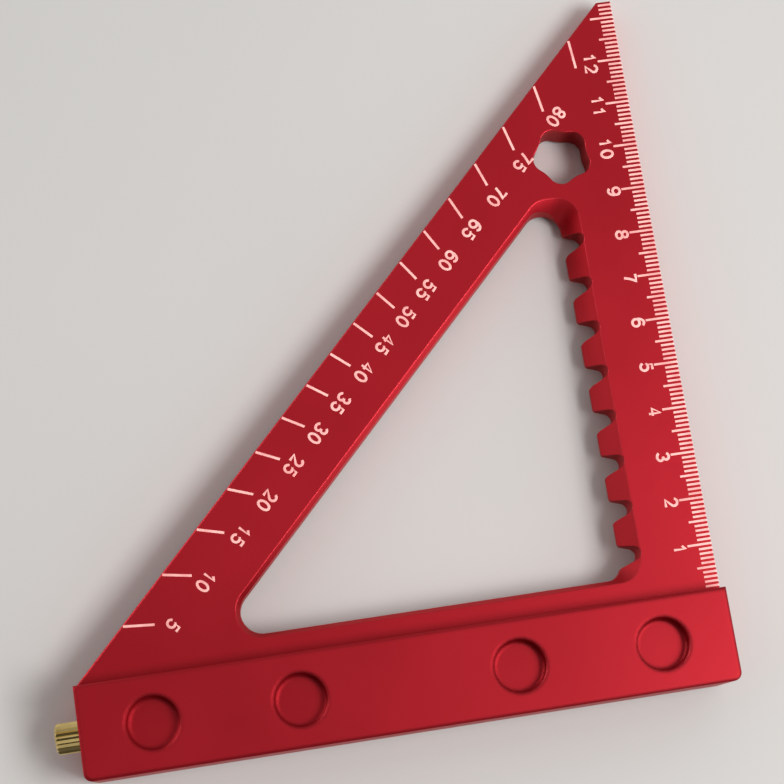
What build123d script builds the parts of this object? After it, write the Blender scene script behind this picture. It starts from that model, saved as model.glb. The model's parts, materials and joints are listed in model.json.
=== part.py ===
from build123d import *
import math
import os

# Set square with a T-shaped fence and a marking scriber stored in the fence.
# Millimetres. Everything is first drawn in corner coordinates: X = 0 is the ruled edge,
# Y = 0 is the fence's working face, Z = 0 is the underside of the fence.
# At the end all pieces are moved together, so that the origin is the centre of the footprint.

# blade
blade_thickness = 7.5
blade_leg = 137.0           # along the fence
tip_flat = 3.2              # the tip is cut off square
edge_break = 0.25           # small bevel on the blade's outer edges
tongue_depth = 5.2          # how far the blade goes into the fence

# fence
fence_width = 19.6
fence_proud = 5.6           # height above and below the blade
fence_corner_radius = 1.8
fence_edge_round = 0.45
slot_end_gap = 0.1          # behind the blade's tongue

# triangular cut-out
slope_band = 16.8           # width of the sloping bar
root_band = 5.3             # width of the bar beside the fence
tooth_line = 19.0           # width of the ruled bar, out to the tips of the teeth
corner_radius = 4.3
toe_radius = 4.8            # corner at the far end of the fence
rim_bevel = 0.9
underside_bevel = 0.3

# marking notches, one for each centimetre that the ruled bar has room for
notch_pitch = 10.0
notch_end_room = 3.3        # from the last mark to the end of the straight run
notch_offset = 0.4          # notch centre above its centimetre mark
notch_root_radius = 1.65
notch_depth = 3.65
notch_half_angle = 18.5
tooth_tip_radius = 0.9
cutter_radius = 5.2         # conical cutter, where it passes through the top face
cutter_half_angle = 30
tooth_bevel = 3.5           # how far its bevel reaches back from the tips of the teeth
bevel_run_out = 0.95        # how far the cutter runs on past the last tooth

# five-lobed hanging hole
hole_from_edge = 17.0
hole_below_tip = 34.4
lobe_count = 5
lobe_tip_radius = 6.5
lobe_radius = 2.9
waist_distance = 5.6        # hole centre to the narrowest points
lobe_turn = 41.3            # direction of the first lobe

# finger recesses in the top face of the fence, a pair at each end
recess_radius = 5.5
recess_depth = 2.9
recess_rim = 0.15
recess_floor_bevel = 0.5
recess_from_end = 15.2
recess_pair_pitch = 30.4

# screws and dowels that hold the blade in the fence, put in from below
screw_radius = 1.25
screw_head_radius = 2.35
screw_length = 10.0
screw_inset = 3.0           # from the working face
screw_from_end = 5.0
screw_pair_pitch = 25.0
hex_socket_radius = 0.87
hex_socket_depth = 0.9
head_recess = 0.2           # screw heads lie this far below the surface
dowel_radius = 1.25
dowel_length = 10.0
dowel_spacing = 26.0
fastener_gap = 0.05
pin_fit = 0.01

# scriber, measured from the fence's end face
bore_radius = 2.7
bore_length = 82.0
drill_point_angle = 59.0
running_gap = 0.1
thread_gap = 0.05
seat_gap = 0.05
knob_radius = 3.2
knob_proud = 5.4
knob_bevel = 0.45
knurl_count = 20
knurl_depth = 0.35
spigot_radius = 1.5
spigot_length = 5.0
barrel_length = 46.0
nose_radius = 1.95          # threaded nose that the chuck nut runs on
nose_length = 6.5
seal_position = 8.6
seal_section = 0.775
seal_corner = 0.2
seal_groove_width = 1.1
seal_bore_gap = 0.025
collet_radius = 1.3
collet_length = 12.0
collet_head_radius = 1.75
collet_head_length = 3.0
collet_slit = 0.3
nut_length = 13.5
nut_mouth_radius = 1.2
nut_nose_taper = 3.2
nut_grip_count = 12
nut_grip_depth = 0.16
needle_radius = 0.75
needle_projection = 15.0    # from the chuck nut to the point
needle_tail = 24.0          # from the chuck nut back into the barrel
needle_point_length = 5.0
needle_way = 20.0           # free bore behind the needle

fence_length = blade_leg
fence_height = blade_thickness + 2 * fence_proud
mid_height = fence_height / 2
blade_bottom = fence_proud
blade_top = fence_proud + blade_thickness
axis_y = -fence_width / 2
barrel_radius = bore_radius - running_gap

# the sloping edges are at 45 degrees: distance from the corner, measured along either leg
blade_height = blade_leg - tip_flat
opening_leg_sum = blade_leg - slope_band * math.sqrt(2)
corner_reach = 1 / math.tan(math.radians(22.5))     # tangent length of a 1 mm round
straight_end = opening_leg_sum - tooth_line - corner_radius * corner_reach
nut_start = barrel_length - nose_length
nut_end = nut_start + nut_length

# the finished part stands with the middle of its footprint on the origin
corner_x = (fence_length + knob_proud) / 2
corner_y = (fence_width - blade_height) / 2
to_origin = Pos(corner_x, corner_y, 0)
scriber_axis = Pos(-fence_length, axis_y, mid_height) * Rot(0, 90, 0)


def rod(radius, start, end):
    """Round bar along +Z from start to end."""
    return Pos(0, 0, start) * Cylinder(
        radius, end - start, align=(Align.CENTER, Align.CENTER, Align.MIN)
    )


def taper(radius_start, radius_end, start, end):
    """Cone along +Z from start to end."""
    return Pos(0, 0, start) * Cone(
        radius_start, radius_end, end - start,
        align=(Align.CENTER, Align.CENTER, Align.MIN),
    )


def block(x0, x1, y0, y1, z0, z1):
    """Box between two corners."""
    return Pos(x0, y0, z0) * Box(
        x1 - x0, y1 - y0, z1 - z0, align=(Align.MIN, Align.MIN, Align.MIN)
    )


def polygon(points):
    return make_face(Polyline(*points, close=True))


def nearest_vertex(shape, x, y):
    return shape.vertices().sort_by_distance((x, y, 0))[0]


def both_ends(*distances):
    """Places along the fence at these distances from each of its ends."""
    places = []
    for distance in distances:
        places += [-distance, distance - fence_length]
    return places


# ---- blade

def opening_outline():
    """Rounded triangle: ruled bar on the right, fence below, sloping bar at the left."""
    top = opening_leg_sum - tooth_line
    toe = opening_leg_sum - root_band
    corners = [(-tooth_line, root_band), (-tooth_line, top), (-toe, root_band)]
    radii = [corner_radius, corner_radius, toe_radius]
    face = polygon(corners)
    for (x, y), radius in zip(corners, radii):
        face = fillet(nearest_vertex(face, x, y), radius)
    return face


def notch_outline(y):
    """V with a round root; its mouth opens into the triangle."""
    angle = math.radians(notch_half_angle)
    root_x = -(tooth_line - notch_depth + notch_root_radius)
    dx = notch_root_radius * math.sin(angle)
    dy = notch_root_radius * math.cos(angle)
    mouth_x = -(tooth_line + notch_root_radius)
    mouth_dy = dy + (root_x + dx - mouth_x) * math.tan(angle)
    wedge = polygon([
        (root_x + dx, y + dy),
        (mouth_x, y + mouth_dy),
        (mouth_x, y - mouth_dy),
        (root_x + dx, y - dy),
    ])
    return wedge + Pos(root_x, y) * Circle(notch_root_radius)


def notch_heights():
    count = int((straight_end - notch_end_room) / notch_pitch)
    return [notch_pitch * (i + 1) + notch_offset for i in range(count)]


def toothed_opening():
    face = opening_outline()
    for y in notch_heights():
        face += notch_outline(y)
    return round_teeth(face)


def round_teeth(face):
    """Rounds the corners where each notch meets the straight line of the teeth."""
    angle = math.radians(notch_half_angle)
    root_x = tooth_line - notch_depth + notch_root_radius
    half_mouth = notch_root_radius / math.cos(angle)
    half_mouth += (tooth_line - root_x) * math.tan(angle)
    for y in notch_heights():
        for side in (-1, 1):
            tip = nearest_vertex(face, -tooth_line, y + side * half_mouth)
            face = fillet(tip, tooth_tip_radius)
    return face


def bevel_cutter():
    """The path of a conical cutter round the opening, close in by the teeth."""
    inset = cutter_radius - rim_bevel
    path_sum = opening_leg_sum - inset * math.sqrt(2)
    by_teeth = tooth_line + cutter_radius - tooth_bevel
    low = root_band + inset
    high = straight_end + bevel_run_out
    toe_centre = opening_leg_sum - root_band - toe_radius * corner_reach
    toe = toe_centre + toe_radius - inset
    path = polygon([
        (-by_teeth, low),
        (-by_teeth, high),
        (-(path_sum - high), high),
        (-toe, path_sum - toe),
        (-toe, low),
    ])
    outline = offset(path, amount=cutter_radius, kind=Kind.ARC)
    flat = Pos(0, 0, blade_top) * outline
    return extrude(flat, amount=blade_thickness, dir=(0, 0, -1), taper=cutter_half_angle)


def lobed_outline():
    """Five round lobes joined by tangent hollow arcs."""
    step = math.radians(180 / lobe_count)
    d = lobe_tip_radius - lobe_radius
    w = waist_distance
    top = d * d + w * w - 2 * d * w * math.cos(step) - lobe_radius ** 2
    hollow = top / (2 * lobe_radius - 2 * w + 2 * d * math.cos(step))
    edges = []
    for i in range(lobe_count):
        here = math.radians(lobe_turn) + 2 * step * i
        lobe = polar(d, here)
        before = polar(w + hollow, here - step)
        after = polar(w + hollow, here + step)
        start = between(lobe, before, lobe_radius, hollow)
        end = between(lobe, after, lobe_radius, hollow)
        following = polar(d, here + 2 * step)
        next_start = between(following, after, lobe_radius, hollow)
        edges.append(ThreePointArc(start, polar(lobe_tip_radius, here), end))
        edges.append(ThreePointArc(end, polar(w, here + step), next_start))
    return make_face(Wire(edges))


def polar(radius, angle):
    return Vector(radius * math.cos(angle), radius * math.sin(angle))


def between(a, b, from_a, from_b):
    """The point where two circles touch from outside."""
    return a + (b - a) * (from_a / (from_a + from_b))


def make_blade():
    tip = blade_leg - blade_height
    outline = polygon([(0, 0), (0, blade_height), (-tip, blade_height), (-blade_leg, 0)])
    plate = extrude(Pos(0, 0, blade_bottom) * outline, amount=blade_thickness)
    outer = plate.edges().filter_by(Plane.XY).filter_by(lambda e: e.center().Y > edge_break)
    plate = chamfer(outer, edge_break)
    plate += block(-blade_leg, 0, -tongue_depth, 0, blade_bottom, blade_top)
    opening = extrude(Pos(0, 0, blade_bottom) * toothed_opening(), amount=blade_thickness)
    low_rim = offset(opening_outline(), amount=underside_bevel, kind=Kind.ARC)
    low_rim = extrude(
        Pos(0, 0, blade_bottom) * low_rim, amount=underside_bevel, taper=45
    )
    hole_y = blade_height - hole_below_tip
    hang = Pos(-hole_from_edge, hole_y, blade_bottom) * lobed_outline()
    hang = extrude(hang, amount=blade_thickness)
    plate = plate - opening - low_rim - bevel_cutter() - hang
    for x in screw_places():
        plate -= Pos(x, -screw_inset, 0) * rod(screw_radius + fastener_gap, 0, screw_tip_z())
    for x in dowel_places():
        plate -= Pos(x, -screw_inset, 0) * rod(dowel_radius + pin_fit, 0, dowel_top_z())
    return plate


# ---- fence

def screw_places():
    return both_ends(screw_from_end, screw_from_end + screw_pair_pitch)


def dowel_places():
    return both_ends((fence_length - dowel_spacing) / 2)


def recess_places():
    return both_ends(recess_from_end, recess_from_end + recess_pair_pitch)


def screw_tip_z():
    return head_recess + screw_length + 2 * fastener_gap


def dowel_top_z():
    return head_recess + dowel_length + 2 * fastener_gap


def recess_cutter():
    """Shallow round pocket that opens upwards at Z = 0, with a bevelled rim and floor."""
    pocket = rod(recess_radius, -recess_depth, recess_rim)
    floor = pocket.edges().group_by(Axis.Z)[0]
    pocket = chamfer(floor, recess_floor_bevel)
    rim = taper(recess_radius, recess_radius + 2 * recess_rim, -recess_rim, recess_rim)
    return pocket + rim


def fence_body():
    body = block(-fence_length, 0, -fence_width, 0, 0, fence_height)
    outer = body.edges().filter_by(Axis.Z).group_by(Axis.Y)[0]
    body = fillet(outer, fence_corner_radius)
    rims = body.edges().filter_by(Plane.XY)
    return fillet(rims, fence_edge_round)


def screw_hole():
    r = screw_head_radius + fastener_gap
    shank = screw_radius + fastener_gap
    hole = rod(shank, 0, screw_tip_z())
    hole += rod(r, 0, head_recess)
    return hole + taper(r, shank, head_recess, head_recess + r - shank)


def scriber_bore():
    bore = rod(bore_radius, 0, bore_length)
    point = bore_radius / math.tan(math.radians(drill_point_angle))
    bore += taper(bore_radius, 0, bore_length, bore_length + point)
    return scriber_axis * bore


def make_fence():
    body = fence_body()
    body -= block(
        -fence_length, 0, -(tongue_depth + slot_end_gap), 0, blade_bottom, blade_top
    )
    body -= scriber_bore()
    recess = recess_cutter()
    for x in recess_places():
        body -= Pos(x, axis_y, fence_height) * recess
    for x in screw_places():
        body -= Pos(x, -screw_inset, 0) * screw_hole()
    for x in dowel_places():
        body -= Pos(x, -screw_inset, 0) * rod(dowel_radius + pin_fit, 0, dowel_top_z())
    return body


def make_fence_screws():
    head = taper(screw_head_radius, screw_radius, 0, screw_head_radius - screw_radius)
    screw = head + rod(screw_radius, 0, screw_length)
    socket = extrude(RegularPolygon(hex_socket_radius, 6), amount=hex_socket_depth)
    screw = screw - socket
    return [Pos(x, -screw_inset, head_recess) * screw for x in screw_places()]


def make_dowel_pins():
    pin = rod(dowel_radius, 0, dowel_length)
    pin = chamfer(pin.edges().filter_by(GeomType.CIRCLE), edge_break)
    return [Pos(x, -screw_inset, head_recess) * pin for x in dowel_places()]


# ---- scriber, drawn along +Z from the fence's end face and then laid along the fence

def fluted(radius, depth, count, start, end):
    """Bar with V-shaped flutes along its length."""
    step = math.pi / count
    points = []
    for i in range(count):
        points.append(polar(radius, 2 * i * step))
        points.append(polar(radius - depth, (2 * i + 1) * step))
    return extrude(Pos(0, 0, start) * polygon(points), amount=end - start)


def make_scriber_knob():
    head = fluted(knob_radius, knurl_depth, knurl_count, -knob_proud, -seat_gap)
    blank = rod(knob_radius, -knob_proud, -seat_gap)
    blank = chamfer(blank.edges().filter_by(GeomType.CIRCLE), knob_bevel)
    return (head & blank) + rod(spigot_radius, -seat_gap, spigot_length)


def seal_groove_floor():
    return bore_radius - seal_bore_gap - seal_section - thread_gap


def make_scriber_barrel():
    barrel = rod(barrel_radius, -seat_gap, nut_start - seat_gap)
    barrel += rod(nose_radius, nut_start - seat_gap, barrel_length)
    barrel -= rod(spigot_radius, -seat_gap, spigot_length + seat_gap)
    groove = rod(
        bore_radius, seal_position - seal_groove_width / 2,
        seal_position + seal_groove_width / 2,
    )
    groove -= rod(seal_groove_floor(), 0, nut_start)
    barrel -= groove
    seat = barrel_length - (collet_length - collet_head_length)
    barrel -= rod(collet_radius + thread_gap, seat, barrel_length)
    tail = nut_end - needle_tail
    barrel -= rod(needle_radius + 2 * thread_gap, tail - needle_way, seat)
    return barrel


def make_seal_ring():
    outside = bore_radius - seal_bore_gap
    start = seal_position - seal_section / 2
    ring = rod(outside, start, start + seal_section)
    ring -= rod(outside - seal_section, start, start + seal_section)
    return chamfer(ring.edges().filter_by(GeomType.CIRCLE), seal_corner)


def make_collet():
    tail = barrel_length - (collet_length - collet_head_length)
    head_end = barrel_length + collet_head_length
    neck = barrel_length + collet_head_length / 3
    collet = rod(collet_radius, tail, neck)
    collet += taper(collet_radius, collet_head_radius, barrel_length, neck)
    collet += taper(collet_head_radius, needle_radius + 0.4, neck, head_end)
    collet -= rod(needle_radius + thread_gap, tail, head_end)
    reach = 2 * collet_head_radius
    middle = barrel_length - collet_head_length
    for turn in (0, 90):
        slit = block(-reach, reach, -collet_slit / 2, collet_slit / 2, middle, head_end)
        collet -= Rot(0, 0, turn) * slit
    return collet


def make_chuck_nut():
    nose = nut_end - nut_nose_taper
    grip = fluted(barrel_radius, nut_grip_depth, nut_grip_count, nut_start, nose)
    nut = grip + taper(barrel_radius - nut_grip_depth, nut_mouth_radius + 0.35, nose, nut_end)
    nut -= rod(nose_radius + thread_gap, nut_start, barrel_length + thread_gap)
    neck = barrel_length + collet_head_length / 3
    nut -= rod(collet_head_radius + thread_gap, barrel_length, neck + thread_gap)
    cone_end = barrel_length + collet_head_length
    nut -= taper(
        collet_head_radius + thread_gap, nut_mouth_radius, neck + thread_gap, cone_end
    )
    return nut - rod(nut_mouth_radius, neck, nut_end)


def make_scriber_needle():
    tip = nut_end + needle_projection
    shoulder = tip - needle_point_length
    needle = rod(needle_radius, nut_end - needle_tail, shoulder)
    return needle + taper(needle_radius, 0, shoulder, tip)


def write(node, solids):
    """Moves a node's solids to the final origin and writes them."""
    placed = [to_origin * solid for solid in solids]
    shape = placed[0] if len(placed) == 1 else Compound(children=placed)
    export_step(shape, "parts/" + node + ".step")


os.makedirs("parts", exist_ok=True)
write("blade", [make_blade()])
write("fence", [make_fence()])
write("fence_screws", make_fence_screws())
write("dowel_pins", make_dowel_pins())
write("scriber_knob", [scriber_axis * make_scriber_knob()])
write("scriber_barrel", [scriber_axis * make_scriber_barrel()])
write("seal_ring", [scriber_axis * make_seal_ring()])
write("collet", [scriber_axis * make_collet()])
write("chuck_nut", [scriber_axis * make_chuck_nut()])
write("scriber_needle", [scriber_axis * make_scriber_needle()])
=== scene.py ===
import bpy
import json
import math
from mathutils import Matrix, Quaternion, Vector

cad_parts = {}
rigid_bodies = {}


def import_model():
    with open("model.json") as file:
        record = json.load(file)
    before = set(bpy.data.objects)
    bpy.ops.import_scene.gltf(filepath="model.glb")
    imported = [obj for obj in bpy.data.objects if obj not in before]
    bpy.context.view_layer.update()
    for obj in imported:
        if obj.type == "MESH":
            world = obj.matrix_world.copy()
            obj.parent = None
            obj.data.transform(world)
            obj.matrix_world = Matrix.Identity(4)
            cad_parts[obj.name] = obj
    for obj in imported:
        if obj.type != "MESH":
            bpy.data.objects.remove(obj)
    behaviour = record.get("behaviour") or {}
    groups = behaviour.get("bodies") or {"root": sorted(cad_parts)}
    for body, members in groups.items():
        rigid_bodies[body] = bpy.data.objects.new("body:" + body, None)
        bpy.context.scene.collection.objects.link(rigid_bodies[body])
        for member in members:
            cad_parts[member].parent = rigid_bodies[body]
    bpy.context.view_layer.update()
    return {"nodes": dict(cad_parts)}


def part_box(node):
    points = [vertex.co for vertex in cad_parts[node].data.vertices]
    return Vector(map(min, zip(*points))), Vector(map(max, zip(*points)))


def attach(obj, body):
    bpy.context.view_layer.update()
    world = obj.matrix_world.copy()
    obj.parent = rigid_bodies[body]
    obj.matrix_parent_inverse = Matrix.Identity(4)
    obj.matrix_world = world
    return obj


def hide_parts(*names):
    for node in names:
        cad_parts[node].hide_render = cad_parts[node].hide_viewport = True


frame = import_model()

scene = bpy.context.scene
scene.view_settings.view_transform = "Standard"
mm = 0.001      # the scales and the view are laid out in millimetres, all the rest in metres

# the engraving is placed from the corner where the ruled edge meets the fence
fenceLow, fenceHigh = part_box("fence")
bladeLow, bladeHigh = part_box("blade")
corner = Vector((fenceHigh.x, fenceHigh.y, bladeHigh.z))


# millimetres along the fence to its far end, up the ruled edge, and above the blade
def fromCorner(alongFence, upBlade, lift=0.0):
    return corner + Vector((-alongFence, upBlade, lift)) * mm


def linkObject(name, data):
    piece = bpy.data.objects.new(name, data)
    scene.collection.objects.link(piece)
    return piece


# a curve, or an object with modifiers, becomes a plain mesh object of the same name
def bakeToMesh(piece):
    depsgraph = bpy.context.evaluated_depsgraph_get()
    mesh = bpy.data.meshes.new_from_object(piece.evaluated_get(depsgraph))
    name = piece.name
    bpy.data.objects.remove(piece)
    return linkObject(name, mesh)


def dress(mesh, material):
    mesh.materials.clear()
    mesh.materials.append(material)


def newMaterial(name):
    material = bpy.data.materials.new(name)
    material.use_nodes = True
    nodes = material.node_tree.nodes
    nodes.clear()
    output = nodes.new("ShaderNodeOutputMaterial")
    shader = nodes.new("ShaderNodeBsdfPrincipled")
    material.node_tree.links.new(shader.outputs["BSDF"], output.inputs["Surface"])
    return material, material.node_tree, shader


# an input given as a socket is linked, any other value is set on the node
def addNode(tree, kind, inputs=None, **settings):
    node = tree.nodes.new(kind)
    for key, value in settings.items():
        setattr(node, key, value)
    for key, value in (inputs or {}).items():
        socket = node.inputs[key]
        if isinstance(value, bpy.types.NodeSocket):
            tree.links.new(value, socket)
        else:
            socket.default_value = value
    return node


def addMath(tree, operation, first, second=0.0, clamp=False):
    node = addNode(tree, "ShaderNodeMath", {0: first, 1: second},
                   operation=operation, use_clamp=clamp)
    return node.outputs[0]


def addMix(tree, share, first, second):
    mix = addNode(tree, "ShaderNodeMix", {"Factor": share, "A": first, "B": second},
                  data_type="RGBA")
    return mix.outputs["Result"]


def addNoise(tree, place, scale, detail, roughness):
    noise = addNode(tree, "ShaderNodeTexNoise",
                    {"Vector": place, "Scale": scale, "Detail": detail, "Roughness": roughness})
    return noise.outputs["Fac"]


# roughness that swings with a pattern
def setRoughness(tree, shader, pattern, swing, start):
    moved = addMath(tree, "MULTIPLY", pattern, swing)
    tree.links.new(addMath(tree, "ADD", moved, start), shader.inputs["Roughness"])


def setBump(tree, shader, height, depth, reach):
    bump = addNode(tree, "ShaderNodeBump", {"Height": height, "Strength": depth, "Distance": reach})
    tree.links.new(bump.outputs["Normal"], shader.inputs["Normal"])
    return bump


def newGroup(name, inputs, outputs, kind="ShaderNodeTree"):
    group = bpy.data.node_groups.new(name, kind)
    for label, socketType, value in inputs:
        socket = group.interface.new_socket(label, in_out="INPUT", socket_type=socketType)
        if value is not None:
            socket.default_value = value
    for label, socketType in outputs:
        group.interface.new_socket(label, in_out="OUTPUT", socket_type=socketType)
    return group, group.nodes.new("NodeGroupInput"), group.nodes.new("NodeGroupOutput")


def useGroup(tree, group, values):
    return addNode(tree, "ShaderNodeGroup", values, node_tree=group)


blasting = {
    "grainDetail": 3.0,
    "grainRoughness": 0.6,
    "patchDetail": 2.0,
    "patchRoughness": 0.5,
}


# a fine grain, and slow patches where a finish took a little more or less
def makeBlastedGrain():
    group, given, made = newGroup(
        "blastedGrain",
        [("Grain Size", "NodeSocketFloat", 0.00025), ("Patch Size", "NodeSocketFloat", 0.03)],
        [("Height", "NodeSocketFloat"), ("Patch", "NodeSocketFloat")])
    place = addNode(group, "ShaderNodeTexCoord").outputs["Object"]
    grainScale = addMath(group, "DIVIDE", 1.0, given.outputs["Grain Size"])
    patchScale = addMath(group, "DIVIDE", 1.0, given.outputs["Patch Size"])
    grain = addNoise(group, place, grainScale,
                     blasting["grainDetail"], blasting["grainRoughness"])
    patch = addNoise(group, place, patchScale,
                     blasting["patchDetail"], blasting["patchRoughness"])
    group.links.new(grain, made.inputs["Height"])
    group.links.new(patch, made.inputs["Patch"])
    return group


edgeMarking = {
    "samples": 6,
    "gain": 6.0,                # how soon a turned normal counts as an edge
    "detail": 4.0,
    "roughness": 0.6,
    "fades": (0.4, 0.6),        # noise values from a bare edge to a fully marked one
}


# 1 on the narrow bevels and sharp edges, broken up by noise: wear on the turned metal, worn dye
# with a painted highlight on the blade, painted shade on the fence
def makeEdgeRub():
    group, given, made = newGroup(
        "edgeWearAndShade",
        [("Width", "NodeSocketFloat", 0.0003), ("Break Up Size", "NodeSocketFloat", 0.004),
         ("Break Up", "NodeSocketFloat", 0.5)],
        [("Mask", "NodeSocketFloat")])
    rounded = addNode(group, "ShaderNodeBevel", {"Radius": given.outputs["Width"]},
                      samples=edgeMarking["samples"])
    flat = addNode(group, "ShaderNodeNewGeometry")
    same = addNode(group, "ShaderNodeVectorMath",
                   {0: rounded.outputs["Normal"], 1: flat.outputs["Normal"]},
                   operation="DOT_PRODUCT")
    turned = addMath(group, "SUBTRACT", 1.0, same.outputs["Value"], clamp=True)
    edge = addMath(group, "MULTIPLY", turned, edgeMarking["gain"], clamp=True)
    place = addNode(group, "ShaderNodeTexCoord").outputs["Object"]
    scale = addMath(group, "DIVIDE", 1.0, given.outputs["Break Up Size"])
    noise = addNoise(group, place, scale, edgeMarking["detail"], edgeMarking["roughness"])
    bareEdge, markedEdge = edgeMarking["fades"]
    patchy = addNode(group, "ShaderNodeMapRange",
                     {"Value": noise, "From Min": bareEdge, "From Max": markedEdge})
    broken = addMath(group, "MULTIPLY", patchy.outputs["Result"], given.outputs["Break Up"])
    plain = addMath(group, "SUBTRACT", 1.0, given.outputs["Break Up"])
    share = addMath(group, "ADD", broken, plain, clamp=True)
    group.links.new(addMath(group, "MULTIPLY", edge, share), made.inputs["Mask"])
    return group


turning = {
    "ringDetail": 2.0,
    "toneScale": 350.0,
    "toneDetail": 2.0,
    "roughness": 0.5,
}


# fine rings left by the lathe round an axis that runs along X
def makeTurnedRings():
    group, given, made = newGroup(
        "turnedRings",
        [("Axis Place", "NodeSocketVector", None), ("Ring Pitch", "NodeSocketFloat", 0.0002)],
        [("Height", "NodeSocketFloat"), ("Tone", "NodeSocketFloat")])
    place = addNode(group, "ShaderNodeTexCoord").outputs["Object"]
    local = addNode(group, "ShaderNodeVectorMath",
                    {0: place, 1: given.outputs["Axis Place"]}, operation="SUBTRACT")
    parts = addNode(group, "ShaderNodeSeparateXYZ", {0: local.outputs["Vector"]})
    y2 = addMath(group, "MULTIPLY", parts.outputs["Y"], parts.outputs["Y"])
    z2 = addMath(group, "MULTIPLY", parts.outputs["Z"], parts.outputs["Z"])
    radius = addMath(group, "SQRT", addMath(group, "ADD", y2, z2))
    path = addMath(group, "ADD", parts.outputs["X"], radius)    # works on barrels and on ends
    step = addMath(group, "DIVIDE", path, given.outputs["Ring Pitch"])
    rings = addNode(group, "ShaderNodeTexNoise",
                    {"W": step, "Scale": 1.0, "Detail": turning["ringDetail"],
                     "Roughness": turning["roughness"]}, noise_dimensions="1D")
    tone = addNoise(group, place, turning["toneScale"],
                    turning["toneDetail"], turning["roughness"])
    group.links.new(rings.outputs["Fac"], made.inputs["Height"])
    group.links.new(tone, made.inputs["Tone"])
    return group


blastedGrain = makeBlastedGrain()
edgeWearAndShade = makeEdgeRub()
turnedRings = makeTurnedRings()
print("node groups ready")

# blasted, dyed and sealed aluminium
anodised = {
    "deepRed": (0.335, 0.0075, 0.0145, 1.0),
    "lightRed": (0.38, 0.0095, 0.018, 1.0),
    "grazing": (1.0, 0.30, 0.32, 1.0),
    "metallic": 0.65,
    "roughness": 0.34,
    "roughnessSwing": 0.12,
    "sealWeight": 0.08,
    "sealRoughness": 0.30,
    "grainSize": 0.00018,
    "grainDepth": 0.06,
    "grainReach": 0.00005,
    "patchSize": 0.022,
    "bevelSamples": 6,
}
bladeFinish = {
    "edgeRound": 0.00035,
    "edgeWidth": 0.00025,
    "edgeShare": 0.3,
    "edgeColour": (0.62, 0.10, 0.12, 1.0),      # dye worn thin, with a painted highlight along the bevels
    "breakUp": 0.45,
    "paintedFenceShadow": 0.42,              # share of painted shadow of the fence on the blade
    "paintedFenceShadowReach": 0.0026,
    "paintedFenceShadowColour": (0.13, 0.0025, 0.005, 1.0),
}
# the fence's edges are painted dark as shade
fenceFinish = {
    "edgeRound": 0.0012,
    "edgeWidth": 0.0014,
    "edgeShare": 0.9,
    "edgeColour": (0.13, 0.0025, 0.005, 1.0),   # painted shade along the fence's rounded edges
    "breakUp": 0.12,
}


# painted shadow of the fence on the blade, darkest at the joint and fading out over the reach
def addJointGrime(tree, colour, finish):
    place = addNode(tree, "ShaderNodeTexCoord").outputs["Object"]
    up = addNode(tree, "ShaderNodeSeparateXYZ", {0: place}).outputs["Y"]
    paintedFenceShadow = addNode(tree, "ShaderNodeMapRange",
                    {"Value": up, "From Min": corner.y,
                     "From Max": corner.y + finish["paintedFenceShadowReach"],
                     "To Min": finish["paintedFenceShadow"], "To Max": 0.0})
    return addMix(tree, paintedFenceShadow.outputs["Result"], colour, finish["paintedFenceShadowColour"])


def makeAnodised(name, finish):
    material, tree, shader = newMaterial(name)
    grain = useGroup(tree, blastedGrain, {"Grain Size": anodised["grainSize"],
                                          "Patch Size": anodised["patchSize"]})
    edgeMask = useGroup(tree, edgeWearAndShade, {"Width": finish["edgeWidth"], "Break Up": finish["breakUp"]})
    dye = addMix(tree, grain.outputs["Patch"], anodised["deepRed"], anodised["lightRed"])
    # edge marks: painted shade on the fence, worn dye and a painted highlight on the blade
    markedEdge = addMath(tree, "MULTIPLY", edgeMask.outputs["Mask"], finish["edgeShare"])
    colour = addMix(tree, markedEdge, dye, finish["edgeColour"])
    # the blade gets a painted shadow of the fence along the joint
    if "paintedFenceShadow" in finish:
        colour = addJointGrime(tree, colour, finish)
    tree.links.new(colour, shader.inputs["Base Color"])
    setRoughness(tree, shader, grain.outputs["Patch"],
                 anodised["roughnessSwing"], anodised["roughness"])
    shader.inputs["Metallic"].default_value = anodised["metallic"]
    shader.inputs["Specular Tint"].default_value = anodised["grazing"]
    shader.inputs["Coat Weight"].default_value = anodised["sealWeight"]
    shader.inputs["Coat Roughness"].default_value = anodised["sealRoughness"]
    bump = setBump(tree, shader, grain.outputs["Height"],
                   anodised["grainDepth"], anodised["grainReach"])
    soft = addNode(tree, "ShaderNodeBevel", {"Radius": finish["edgeRound"]},
                   samples=anodised["bevelSamples"])
    tree.links.new(soft.outputs["Normal"], bump.inputs["Normal"])
    return material


turnedMetal = {
    "edgeWidth": 0.00015,
    "breakUp": 0.3,
    "breakUpSize": 0.001,
    "roughnessSwing": -0.12,
    "ringReach": 0.00002,
}
knobFinish = {
    "bright": (0.86, 0.66, 0.28, 1.0),
    "dull": (0.50, 0.36, 0.12, 1.0),
    "roughness": 0.25,
    "ringPitch": 0.00012,
    "ringDepth": 0.25,
}
barrelFinish = {
    "bright": (0.62, 0.62, 0.64, 1.0),
    "dull": (0.42, 0.42, 0.44, 1.0),
    "roughness": 0.30,
    "ringPitch": 0.00015,
    "ringDepth": 0.3,
}
screwFinish = dict(barrelFinish, ringPitch=0.0002, ringDepth=0.2)
scriberAxis = Vector((fenceLow.x, (fenceLow.y + fenceHigh.y) / 2, (fenceLow.z + fenceHigh.z) / 2))


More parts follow.
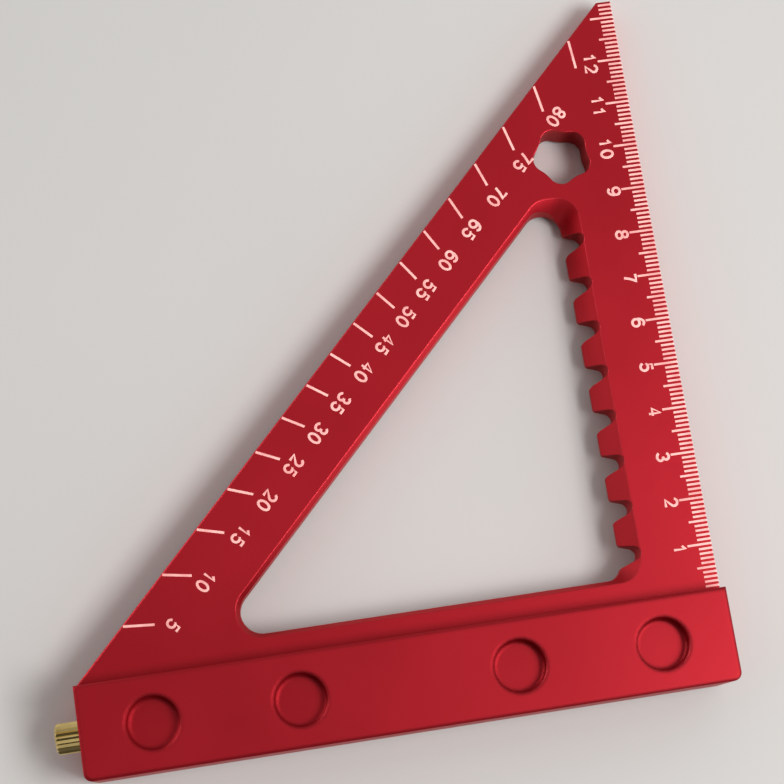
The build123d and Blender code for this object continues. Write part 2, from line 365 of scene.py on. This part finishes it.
def makeTurnedMetal(name, finish):
    material, tree, shader = newMaterial(name)
    rings = useGroup(tree, turnedRings, {"Axis Place": scriberAxis,
                                         "Ring Pitch": finish["ringPitch"]})
    edgeMask = useGroup(tree, edgeWearAndShade, {"Width": turnedMetal["edgeWidth"],
                                   "Break Up": turnedMetal["breakUp"],
                                   "Break Up Size": turnedMetal["breakUpSize"]})
    tone = addMix(tree, rings.outputs["Tone"], finish["dull"], finish["bright"])
    worn = addMix(tree, edgeMask.outputs["Mask"], tone, finish["bright"])
    tree.links.new(worn, shader.inputs["Base Color"])
    setRoughness(tree, shader, rings.outputs["Tone"],
                 turnedMetal["roughnessSwing"], finish["roughness"])
    shader.inputs["Metallic"].default_value = 1.0
    setBump(tree, shader, rings.outputs["Height"], finish["ringDepth"], turnedMetal["ringReach"])
    return material


nitrileRubber = {
    "black": (0.012, 0.012, 0.013, 1.0),
    "bloom": (0.035, 0.035, 0.036, 1.0),
    "roughness": 0.55,
    "roughnessSwing": 0.1,
    "grainSize": 0.00008,
    "grainDepth": 0.1,
    "grainReach": 0.00002,
    "patchSize": 0.001,
}


def makeRubber(name):
    material, tree, shader = newMaterial(name)
    grain = useGroup(tree, blastedGrain, {"Grain Size": nitrileRubber["grainSize"],
                                          "Patch Size": nitrileRubber["patchSize"]})
    tone = addMix(tree, grain.outputs["Patch"], nitrileRubber["black"], nitrileRubber["bloom"])
    tree.links.new(tone, shader.inputs["Base Color"])
    setRoughness(tree, shader, grain.outputs["Patch"],
                 nitrileRubber["roughnessSwing"], nitrileRubber["roughness"])
    setBump(tree, shader, grain.outputs["Height"],
            nitrileRubber["grainDepth"], nitrileRubber["grainReach"])
    return material


engravedOxide = {
    "clean": (0.97, 0.48, 0.44, 1.0),
    "thin": (0.84, 0.34, 0.32, 1.0),
    "fades": (0.35, 0.6),       # patch values from thin to clean
    "roughness": 0.55,
    "roughnessSwing": 0.1,
    "grainSize": 0.0002,
    "grainDepth": 0.2,
    "grainReach": 0.00002,
    "patchSize": 0.0035,
}


# the laser opens the dye down to bright oxide, a little uneven along each line
def makeEngraving(name):
    material, tree, shader = newMaterial(name)
    grain = useGroup(tree, blastedGrain, {"Grain Size": engravedOxide["grainSize"],
                                          "Patch Size": engravedOxide["patchSize"]})
    thin, clean = engravedOxide["fades"]
    share = addNode(tree, "ShaderNodeMapRange",
                    {"Value": grain.outputs["Patch"], "From Min": thin, "From Max": clean})
    tone = addMix(tree, share.outputs["Result"], engravedOxide["thin"], engravedOxide["clean"])
    tree.links.new(tone, shader.inputs["Base Color"])
    setRoughness(tree, shader, grain.outputs["Height"],
                 engravedOxide["roughnessSwing"], engravedOxide["roughness"])
    setBump(tree, shader, grain.outputs["Height"],
            engravedOxide["grainDepth"], engravedOxide["grainReach"])
    return material


barrelSteel = makeTurnedMetal("barrelSteel", barrelFinish)
screwSteel = makeTurnedMetal("screwSteel", screwFinish)
ringRubber = makeRubber("ringRubber")
scaleWhite = makeEngraving("scaleWhite")

nodeFinish = {
    "blade": makeAnodised("bladeRed", bladeFinish),
    "fence": makeAnodised("fenceRed", fenceFinish),
    "fence_screws": screwSteel,
    "dowel_pins": screwSteel,
    "scriber_knob": makeTurnedMetal("knobBrass", knobFinish),
    "scriber_barrel": barrelSteel,
    "collet": barrelSteel,
    "chuck_nut": barrelSteel,
    "scriber_needle": barrelSteel,
}
for nodeName, material in nodeFinish.items():
    dress(frame["nodes"][nodeName].data, material)
print("CAD pieces dressed")

# millimetres and degrees from here to the numerals
engraving = {
    "lift": 0.012,              # height of the lines above the dye
    "sunk": 0.010,
}
edgeScale = {
    "count": 133,
    "pitch": 1.0,
    "shortLine": 2.7,
    "halfLine": 3.8,
    "longLine": 5.0,
    "lineWidth": 0.46,
    "edgeBevel": 0.25,          # the lines run on over the edge's bevel
    "bevelLine": 0.325,         # the length of their ends on it
}
angleScale = {
    "count": 17,
    "step": 5.0,
    "outerSum": 136.6,          # both legs added, at the sloping edge
    "innerSum": 129.5,
    "lineWidth": 0.52,
}


def geometryTree(name, sizes):
    sockets = [(label, "NodeSocketFloat", value) for label, value in sizes.items()]
    sockets.append(("Material", "NodeSocketMaterial", None))
    sockets.append(("Corner", "NodeSocketVector", None))
    return newGroup(name, sockets, [("Geometry", "NodeSocketGeometry")], "GeometryNodeTree")


# points that are numbered from 1
def addMarks(tree, given, places):
    marks = addNode(tree, "GeometryNodeMeshLine", places)
    tree.links.new(given.outputs["Count"], marks.inputs["Count"])
    number = addMath(tree, "ADD", addNode(tree, "GeometryNodeInputIndex").outputs[0], 1.0)
    return marks.outputs[0], number


# a bar from the sunk depth to the lift: its height, and how far its middle is above the face
def addBarHeight(tree, given):
    lift, sunk = given.outputs["Lift"], given.outputs["Sunk"]
    height = addMath(tree, "ADD", lift, sunk)
    return height, addMath(tree, "MULTIPLY", addMath(tree, "SUBTRACT", lift, sunk), 0.5)


def addBars(tree, given, points, length, height, rotation):
    size = addNode(tree, "ShaderNodeCombineXYZ",
                   {"X": length, "Y": given.outputs["Line Width"], "Z": height})
    bar = addNode(tree, "GeometryNodeMeshCube", {"Size": (1.0, 1.0, 1.0)})
    bars = addNode(tree, "GeometryNodeInstanceOnPoints",
                   {"Points": points, "Instance": bar.outputs[0], "Rotation": rotation,
                    "Scale": size.outputs[0]})
    return bars.outputs[0]


def finishTree(tree, given, made, instances):
    solid = addNode(tree, "GeometryNodeRealizeInstances", {0: instances})
    painted = addNode(tree, "GeometryNodeSetMaterial",
                      {"Geometry": solid.outputs[0], "Material": given.outputs["Material"]})
    tree.links.new(painted.outputs[0], made.inputs["Geometry"])
    return tree


def runTree(name, makeTree, sizes):
    tree = makeTree(sizes)
    values = {**sizes, "Material": scaleWhite, "Corner": tuple(corner)}
    piece = linkObject(name, bpy.data.meshes.new(name))
    modifier = piece.modifiers.new("build", "NODES")
    modifier.node_group = tree
    for item in tree.interface.items_tree:
        if item.in_out == "INPUT":
            modifier[item.identifier] = values[item.name]
    scene.view_layers[0].update()
    return bakeToMesh(piece)


# one line for each millimetre, longer at 5 and longest at 10
def makeEdgeScaleTree(sizes):
    tree, given, made = geometryTree("edgeScaleLines", sizes)
    up = addNode(tree, "ShaderNodeCombineXYZ", {"Y": given.outputs["Pitch"]}).outputs[0]
    start = addNode(tree, "ShaderNodeVectorMath", {0: given.outputs["Corner"], 1: up},
                    operation="ADD")
    marks, number = addMarks(tree, given, {"Start Location": start.outputs[0], "Offset": up})
    short, half = given.outputs["Short Line"], given.outputs["Half Line"]
    atFive = addMath(tree, "LESS_THAN", addMath(tree, "MODULO", number, 5.0), 0.5)
    atTen = addMath(tree, "LESS_THAN", addMath(tree, "MODULO", number, 10.0), 0.5)
    extraFive = addMath(tree, "MULTIPLY", atFive, addMath(tree, "SUBTRACT", half, short))
    extraTen = addMath(tree, "MULTIPLY", atTen,
                       addMath(tree, "SUBTRACT", given.outputs["Long Line"], half))
    length = addMath(tree, "ADD", addMath(tree, "ADD", short, extraFive), extraTen)
    height, rise = addBarHeight(tree, given)
    bevel = given.outputs["Edge Bevel"]
    back = addMath(tree, "ADD", addMath(tree, "MULTIPLY", length, 0.5), bevel)
    shift = addNode(tree, "ShaderNodeCombineXYZ",
                    {"X": addMath(tree, "MULTIPLY", back, -1.0), "Z": rise})
    onFace = addNode(tree, "GeometryNodeSetPosition",
                     {"Geometry": marks, "Offset": shift.outputs[0]})
    halfBevel = addMath(tree, "MULTIPLY", bevel, -0.5)
    downBevel = addNode(tree, "ShaderNodeCombineXYZ",
                        {"X": addMath(tree, "SUBTRACT", halfBevel, given.outputs["Sunk"]),
                         "Z": halfBevel})
    onBevel = addNode(tree, "GeometryNodeSetPosition",
                      {"Geometry": marks, "Offset": downBevel.outputs[0]})
    lines = addBars(tree, given, onFace.outputs[0], length, height, (0.0, 0.0, 0.0))
    ends = addBars(tree, given, onBevel.outputs[0], given.outputs["Bevel Line"], height,
                   (0.0, math.radians(45), 0.0))
    both = addNode(tree, "GeometryNodeJoinGeometry")
    tree.links.new(lines, both.inputs[0])
    tree.links.new(ends, both.inputs[0])
    return finishTree(tree, given, made, both.outputs[0])


# lines on rays from the corner, from the sloping edge inwards
def makeAngleScaleTree(sizes):
    tree, given, made = geometryTree("angleScaleLines", sizes)
    marks, number = addMarks(tree, given, {"Offset": (0.0, 0.0, 0.0)})
    angle = addMath(tree, "MULTIPLY", number, given.outputs["Step"])
    across, rising = addMath(tree, "COSINE", angle), addMath(tree, "SINE", angle)
    spread = addMath(tree, "ADD", across, rising)
    outer = addMath(tree, "DIVIDE", given.outputs["Outer Sum"], spread)
    inner = addMath(tree, "DIVIDE", given.outputs["Inner Sum"], spread)
    length = addMath(tree, "SUBTRACT", outer, inner)
    middle = addMath(tree, "MULTIPLY", addMath(tree, "ADD", outer, inner), 0.5)
    height, rise = addBarHeight(tree, given)
    x = addMath(tree, "MULTIPLY", addMath(tree, "MULTIPLY", middle, across), -1.0)
    y = addMath(tree, "MULTIPLY", middle, rising)
    shift = addNode(tree, "ShaderNodeCombineXYZ", {"X": x, "Y": y, "Z": rise})
    place = addNode(tree, "ShaderNodeVectorMath",
                    {0: given.outputs["Corner"], 1: shift.outputs[0]}, operation="ADD")
    onRays = addNode(tree, "GeometryNodeSetPosition",
                     {"Geometry": marks, "Position": place.outputs[0]})
    turn = addNode(tree, "ShaderNodeCombineXYZ", {"Z": addMath(tree, "MULTIPLY", angle, -1.0)})
    lines = addBars(tree, given, onRays.outputs[0], length, height, turn.outputs[0])
    return finishTree(tree, given, made, lines)


edgeLines = runTree("edge_scale_lines", makeEdgeScaleTree, {
    "Count": float(edgeScale["count"]),
    "Pitch": edgeScale["pitch"] * mm,
    "Short Line": edgeScale["shortLine"] * mm,
    "Half Line": edgeScale["halfLine"] * mm,
    "Long Line": edgeScale["longLine"] * mm,
    "Line Width": edgeScale["lineWidth"] * mm,
    "Edge Bevel": edgeScale["edgeBevel"] * mm,
    "Bevel Line": edgeScale["bevelLine"] * mm,
    "Lift": engraving["lift"] * mm,
    "Sunk": engraving["sunk"] * mm,
})
angleLines = runTree("angle_scale_lines", makeAngleScaleTree, {
    "Count": float(angleScale["count"]),
    "Step": math.radians(angleScale["step"]),
    "Outer Sum": angleScale["outerSum"] * mm,
    "Inner Sum": angleScale["innerSum"] * mm,
    "Line Width": angleScale["lineWidth"] * mm,
    "Lift": engraving["lift"] * mm,
    "Sunk": engraving["sunk"] * mm,
})
print("scale lines ready")

# numerals are drawn with one stroke width, each digit in a box of its own
edgeNumerals = {
    "values": range(1, 13),
    "height": 3.1,
    "width": 2.2,
    "stroke": 0.56,
    "spacing": 2.65,            # from one digit's middle to the next
    "fromEdge": 7.0,
    "below": 0.24,              # their middle lies this far below the long line
}
angleNumerals = {
    "values": range(5, 85, 5),
    "height": 3.2,
    "width": 2.15,
    "stroke": 0.56,
    "spacing": 2.45,
    "legSum": 125.05,           # both legs added, at the middle of the numbers
    "lean": 0.45,               # 0 keeps them on the ray, 1 puts them square below the line's end
    "nudge": {5: -0.7, 10: 0.4, 15: -0.65, 20: 0.15, 40: -0.55, 45: -0.35,
              55: 0.4, 60: 0.4, 65: 0.25},
    "besideLines": {80: (16.8, 108.5)},     # moved clear of the lines next to it
}
strokeBevelSteps = 2


# an oval's arc, in degrees from its right end
def sweep(x, y, rx, ry, start, end, steps=14):
    angles = [math.radians(start + i * (end - start) / steps) for i in range(steps + 1)]
    return [(x + rx * math.cos(angle), y + ry * math.sin(angle)) for angle in angles]


# a curve from a to c, pulled towards b
def bend(a, b, c, steps=8):
    points = []
    for i in range(steps + 1):
        t = i / steps
        points.append(tuple((1 - t) ** 2 * p + 2 * t * (1 - t) * q + t * t * r
                            for p, q, r in zip(a, b, c)))
    return points


# each digit in a box of 1 by 1: open strokes, and ovals that close on themselves
digitStrokes = {
    "0": ([], [sweep(0.5, 0.5, 0.5, 0.5, 0, 360)]),
    "1": ([[(0.18, 0.72), (0.42, 0.83), (0.60, 1.0), (0.60, 0.0)]], []),
    "2": ([sweep(0.48, 0.70, 0.47, 0.30, 165, -38) + [(0.02, 0.0), (1.0, 0.0)]], []),
    "3": ([sweep(0.46, 0.75, 0.42, 0.25, 160, -90), sweep(0.46, 0.26, 0.50, 0.26, 90, -165)], []),
    "4": ([[(0.70, 0.0), (0.70, 1.0), (0.0, 0.30), (1.0, 0.30)]], []),
    "5": ([[(0.92, 1.0), (0.22, 1.0), (0.10, 0.50)]
           + sweep(0.47, 0.32, 0.50, 0.32, 138, -162)], []),
    "6": ([sweep(0.56, 0.47, 0.56, 0.53, 48, 180)], [sweep(0.5, 0.31, 0.5, 0.31, 0, 360)]),
    "7": ([[(0.0, 1.0)] + bend((1.0, 1.0), (0.52, 0.52), (0.36, 0.0))], []),
    "8": ([], [sweep(0.5, 0.76, 0.42, 0.24, 0, 360), sweep(0.5, 0.26, 0.5, 0.26, 0, 360)]),
}
# a 9 is a 6 turned round
digitStrokes["9"] = tuple([[(1 - x, 1 - y) for x, y in line] for line in lines]
                          for lines in digitStrokes["6"])


def addStroke(curve, spots, closed):
    if closed:
        spots = spots[:-1]
    spline = curve.splines.new("POLY")
    spline.points.add(len(spots) - 1)
    for point, spot in zip(spline.points, spots):
        point.co = (spot.x, spot.y, 0.0, 1.0)
    spline.use_cyclic_u = closed


def addNumber(curve, numerals, text, middle, along):
    up = Vector((-along.y, along.x, 0.0))
    boxWidth = numerals["width"] - numerals["stroke"]
    boxHeight = numerals["height"] - numerals["stroke"]
    for place, digit in enumerate(text):
        offset = (place - (len(text) - 1) / 2) * numerals["spacing"]
        for closed, lines in zip((False, True), digitStrokes[digit]):
            for line in lines:
                spots = [middle + along * ((offset + (x - 0.5) * boxWidth) * mm)
                         + up * ((y - 0.5) * boxHeight * mm) for x, y in line]
                addStroke(curve, spots, closed)


# numbers is a list of (text, middle, reading direction); the strokes are round tubes, pressed
# flat until they stand as high as the lines
def makeNumerals(name, numerals, numbers):
    curve = bpy.data.curves.new(name, "CURVE")
    curve.dimensions = "3D"
    curve.bevel_depth = numerals["stroke"] / 2 * mm
    curve.bevel_resolution = strokeBevelSteps
    curve.use_fill_caps = True
    for number in numbers:
        addNumber(curve, numerals, *number)
    piece = bakeToMesh(linkObject(name, curve))
    flat = engraving["lift"] / (numerals["stroke"] / 2)
    piece.data.transform(Matrix.Diagonal((1.0, 1.0, flat, 1.0)))
    piece.data.transform(Matrix.Translation((0.0, 0.0, corner.z)))
    dress(piece.data, scaleWhite)
    return piece


downEdge = Vector((0, -1, 0))
downSlope = Vector((-1, -1, 0)).normalized()


def edgeNumberPlace(centimetre):
    return fromCorner(edgeNumerals["fromEdge"], 10 * centimetre - edgeNumerals["below"])


def angleNumberPlace(degree):
    if degree in angleNumerals["besideLines"]:
        return fromCorner(*angleNumerals["besideLines"][degree])
    angle = math.radians(degree)
    reach = angleNumerals["legSum"] / (math.cos(angle) + math.sin(angle))
    inward = (angleScale["innerSum"] - angleNumerals["legSum"]) / math.sqrt(2)
    along = angleNumerals["lean"] * inward * math.tan(math.radians(45) - angle)
    along += angleNumerals["nudge"].get(degree, 0.0)
    spot = fromCorner(reach * math.cos(angle), reach * math.sin(angle))
    return spot + downSlope * along * mm


edgeNumbers = makeNumerals("edge_scale_numbers", edgeNumerals, [
    (str(value), edgeNumberPlace(value), downEdge) for value in edgeNumerals["values"]])
angleNumbers = makeNumerals("angle_scale_numbers", angleNumerals, [
    (str(value), angleNumberPlace(value), downSlope) for value in angleNumerals["values"]])
for piece in (edgeLines, angleLines, edgeNumbers, angleNumbers):
    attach(piece, "square")
print("numerals ready")

sealRing = {
    "turns": 64,
    "sectionSteps": 16,
}


# round in section, as wide and as tall as the plain ring that it replaces
def makeSealRing():
    low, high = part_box("seal_ring")
    thick = (high.x - low.x) / 2
    reach = (high.z - low.z) / 2 - thick
    centre = (low + high) / 2
    turns, steps = sealRing["turns"], sealRing["sectionSteps"]
    points, faces = [], []
    for i in range(turns):
        a = 2 * math.pi * i / turns
        for j in range(steps):
            b = 2 * math.pi * j / steps
            r = reach + thick * math.cos(b)
            points.append(centre + Vector((thick * math.sin(b), r * math.cos(a), r * math.sin(a))))
            nextTurn, nextStep = (i + 1) % turns, (j + 1) % steps
            faces.append((i * steps + j, i * steps + nextStep,
                          nextTurn * steps + nextStep, nextTurn * steps + j))
    mesh = bpy.data.meshes.new("seal_ring_round")
    mesh.from_pydata(points, [], faces)
    for face in mesh.polygons:
        face.use_smooth = True
    dress(mesh, ringRubber)
    return linkObject("seal_ring_round", mesh)


roundRing = makeSealRing()
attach(roundRing, "ring")
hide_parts("seal_ring")
print("seal ring ready")

paper = {
    "size": 8.0,
    "white": (0.76, 0.745, 0.725, 1.0),
    "shade": (0.73, 0.715, 0.695, 1.0),
    "roughness": 0.9,
    "grainSize": 0.0006,
    "patchSize": 0.08,
}


# the tool tips off its fence until the blade's tip touches the paper too, so the paper is tilted
def makePaper():
    rise = math.atan2(bladeLow.z - fenceLow.z, bladeHigh.y - fenceHigh.y)
    half = paper["size"] / 2
    mesh = bpy.data.meshes.new("paper")
    mesh.from_pydata([(-half, -half, 0), (half, -half, 0), (half, half, 0), (-half, half, 0)],
                     [], [(0, 1, 2, 3)])
    mesh.transform(Matrix.Translation((0.0, fenceHigh.y, fenceLow.z))
                   @ Matrix.Rotation(rise, 4, "X"))
    material, tree, shader = newMaterial("paper")
    grain = useGroup(tree, blastedGrain, {"Grain Size": paper["grainSize"],
                                          "Patch Size": paper["patchSize"]})
    tone = addMix(tree, grain.outputs["Patch"], paper["shade"], paper["white"])
    tree.links.new(tone, shader.inputs["Base Color"])
    shader.inputs["Roughness"].default_value = paper["roughness"]
    dress(mesh, material)
    return linkObject("paper", mesh)


floor = makePaper()

lights = {
    "key_light": {"place": (0.43, -0.195, 0.725), "size": (0.34, 0.34), "power": 3.9},
    "low_light": {"place": (0.62, -0.64, 0.17), "size": (1.30, 0.30), "power": 15.0},
    "fill_light": {"place": (-0.62, 0.38, 0.18), "size": (0.60, 0.26), "power": 4.2},
}


def addArea(name, place, size, power):
    lamp = bpy.data.lights.new(name, "AREA")
    lamp.shape = "RECTANGLE"
    lamp.size, lamp.size_y = size
    lamp.energy = power
    holder = linkObject(name, lamp)
    holder.location = place
    holder.rotation_euler = (-Vector(place)).to_track_quat("-Z", "Y").to_euler()
    return holder.light_linking


linking = {name: addArea(name, **values) for name, values in lights.items()}
# the low light is for the blade and the fill for the whole tool, so that the paper stays even
wholeTool = bpy.data.collections.new("whole_tool")
bladeOnly = bpy.data.collections.new("blade_only")
for thing in scene.objects:
    if thing.type == "MESH" and thing != floor:
        wholeTool.objects.link(thing)
for thing in (frame["nodes"]["blade"], edgeLines, angleLines, edgeNumbers, angleNumbers):
    bladeOnly.objects.link(thing)
linking["low_light"].receiver_collection = bladeOnly
linking["fill_light"].receiver_collection = wholeTool

# the room round the table: each part lies towards a direction, fades in between two cosines
# of the angle from it, and adds to the sky's strength
room = {
    "colour": (1.0, 0.99, 0.975, 1.0),
    "sky": 0.63,
    "parts": {
        "overhead": {"towards": (0.06, 0.12, 0.99), "cosines": (0.70, 0.97), "adds": -0.13},
        "bench": {"towards": (-0.36, -0.86, 0.36), "cosines": (0.35, 0.85), "adds": -0.55},
        "window": {"towards": (0.80, -0.54, 0.26), "cosines": (0.70, 0.93), "adds": 0.33},
    },
}


def makeRoom():
    world = bpy.data.worlds.new("studio")
    world.use_nodes = True
    tree = world.node_tree
    direction = addNode(tree, "ShaderNodeTexCoord").outputs["Generated"]
    strength = room["sky"]
    for part in room["parts"].values():
        facing = addNode(tree, "ShaderNodeVectorMath",
                         {0: direction, 1: Vector(part["towards"]).normalized()},
                         operation="DOT_PRODUCT")
        edge, full = part["cosines"]
        share = addNode(tree, "ShaderNodeMapRange",
                        {"Value": facing.outputs["Value"], "From Min": edge, "From Max": full,
                         "To Max": part["adds"]}, interpolation_type="SMOOTHSTEP")
        strength = addMath(tree, "ADD", share.outputs["Result"], strength)
    background = tree.nodes["Background"]
    background.inputs["Color"].default_value = room["colour"]
    tree.links.new(addMath(tree, "MAXIMUM", strength, 0.0), background.inputs["Strength"])
    return world


scene.world = makeRoom()

view = {
    "lens": 93.70,
    "sensor": 36.0,
    "reach": (0.01, 10.0),
    "place": (100.659, -31.169, 427.811),   # along the fence, up the blade, above it
    "aim": (62.449, 52.172, 0.0),
    "roll": 16.058,
}
cameraData = bpy.data.cameras.new("view")
cameraData.lens = view["lens"]
cameraData.sensor_width = view["sensor"]
cameraData.clip_start, cameraData.clip_end = view["reach"]
camera = linkObject("view", cameraData)
place, aim = fromCorner(*view["place"]), fromCorner(*view["aim"])
level = (aim - place).to_track_quat("-Z", "Y")
turned = level @ Quaternion((0.0, 0.0, 1.0), math.radians(view["roll"]))
camera.matrix_world = Matrix.LocRotScale(place, turned, None)
scene.camera = camera
print("camera and lights ready")
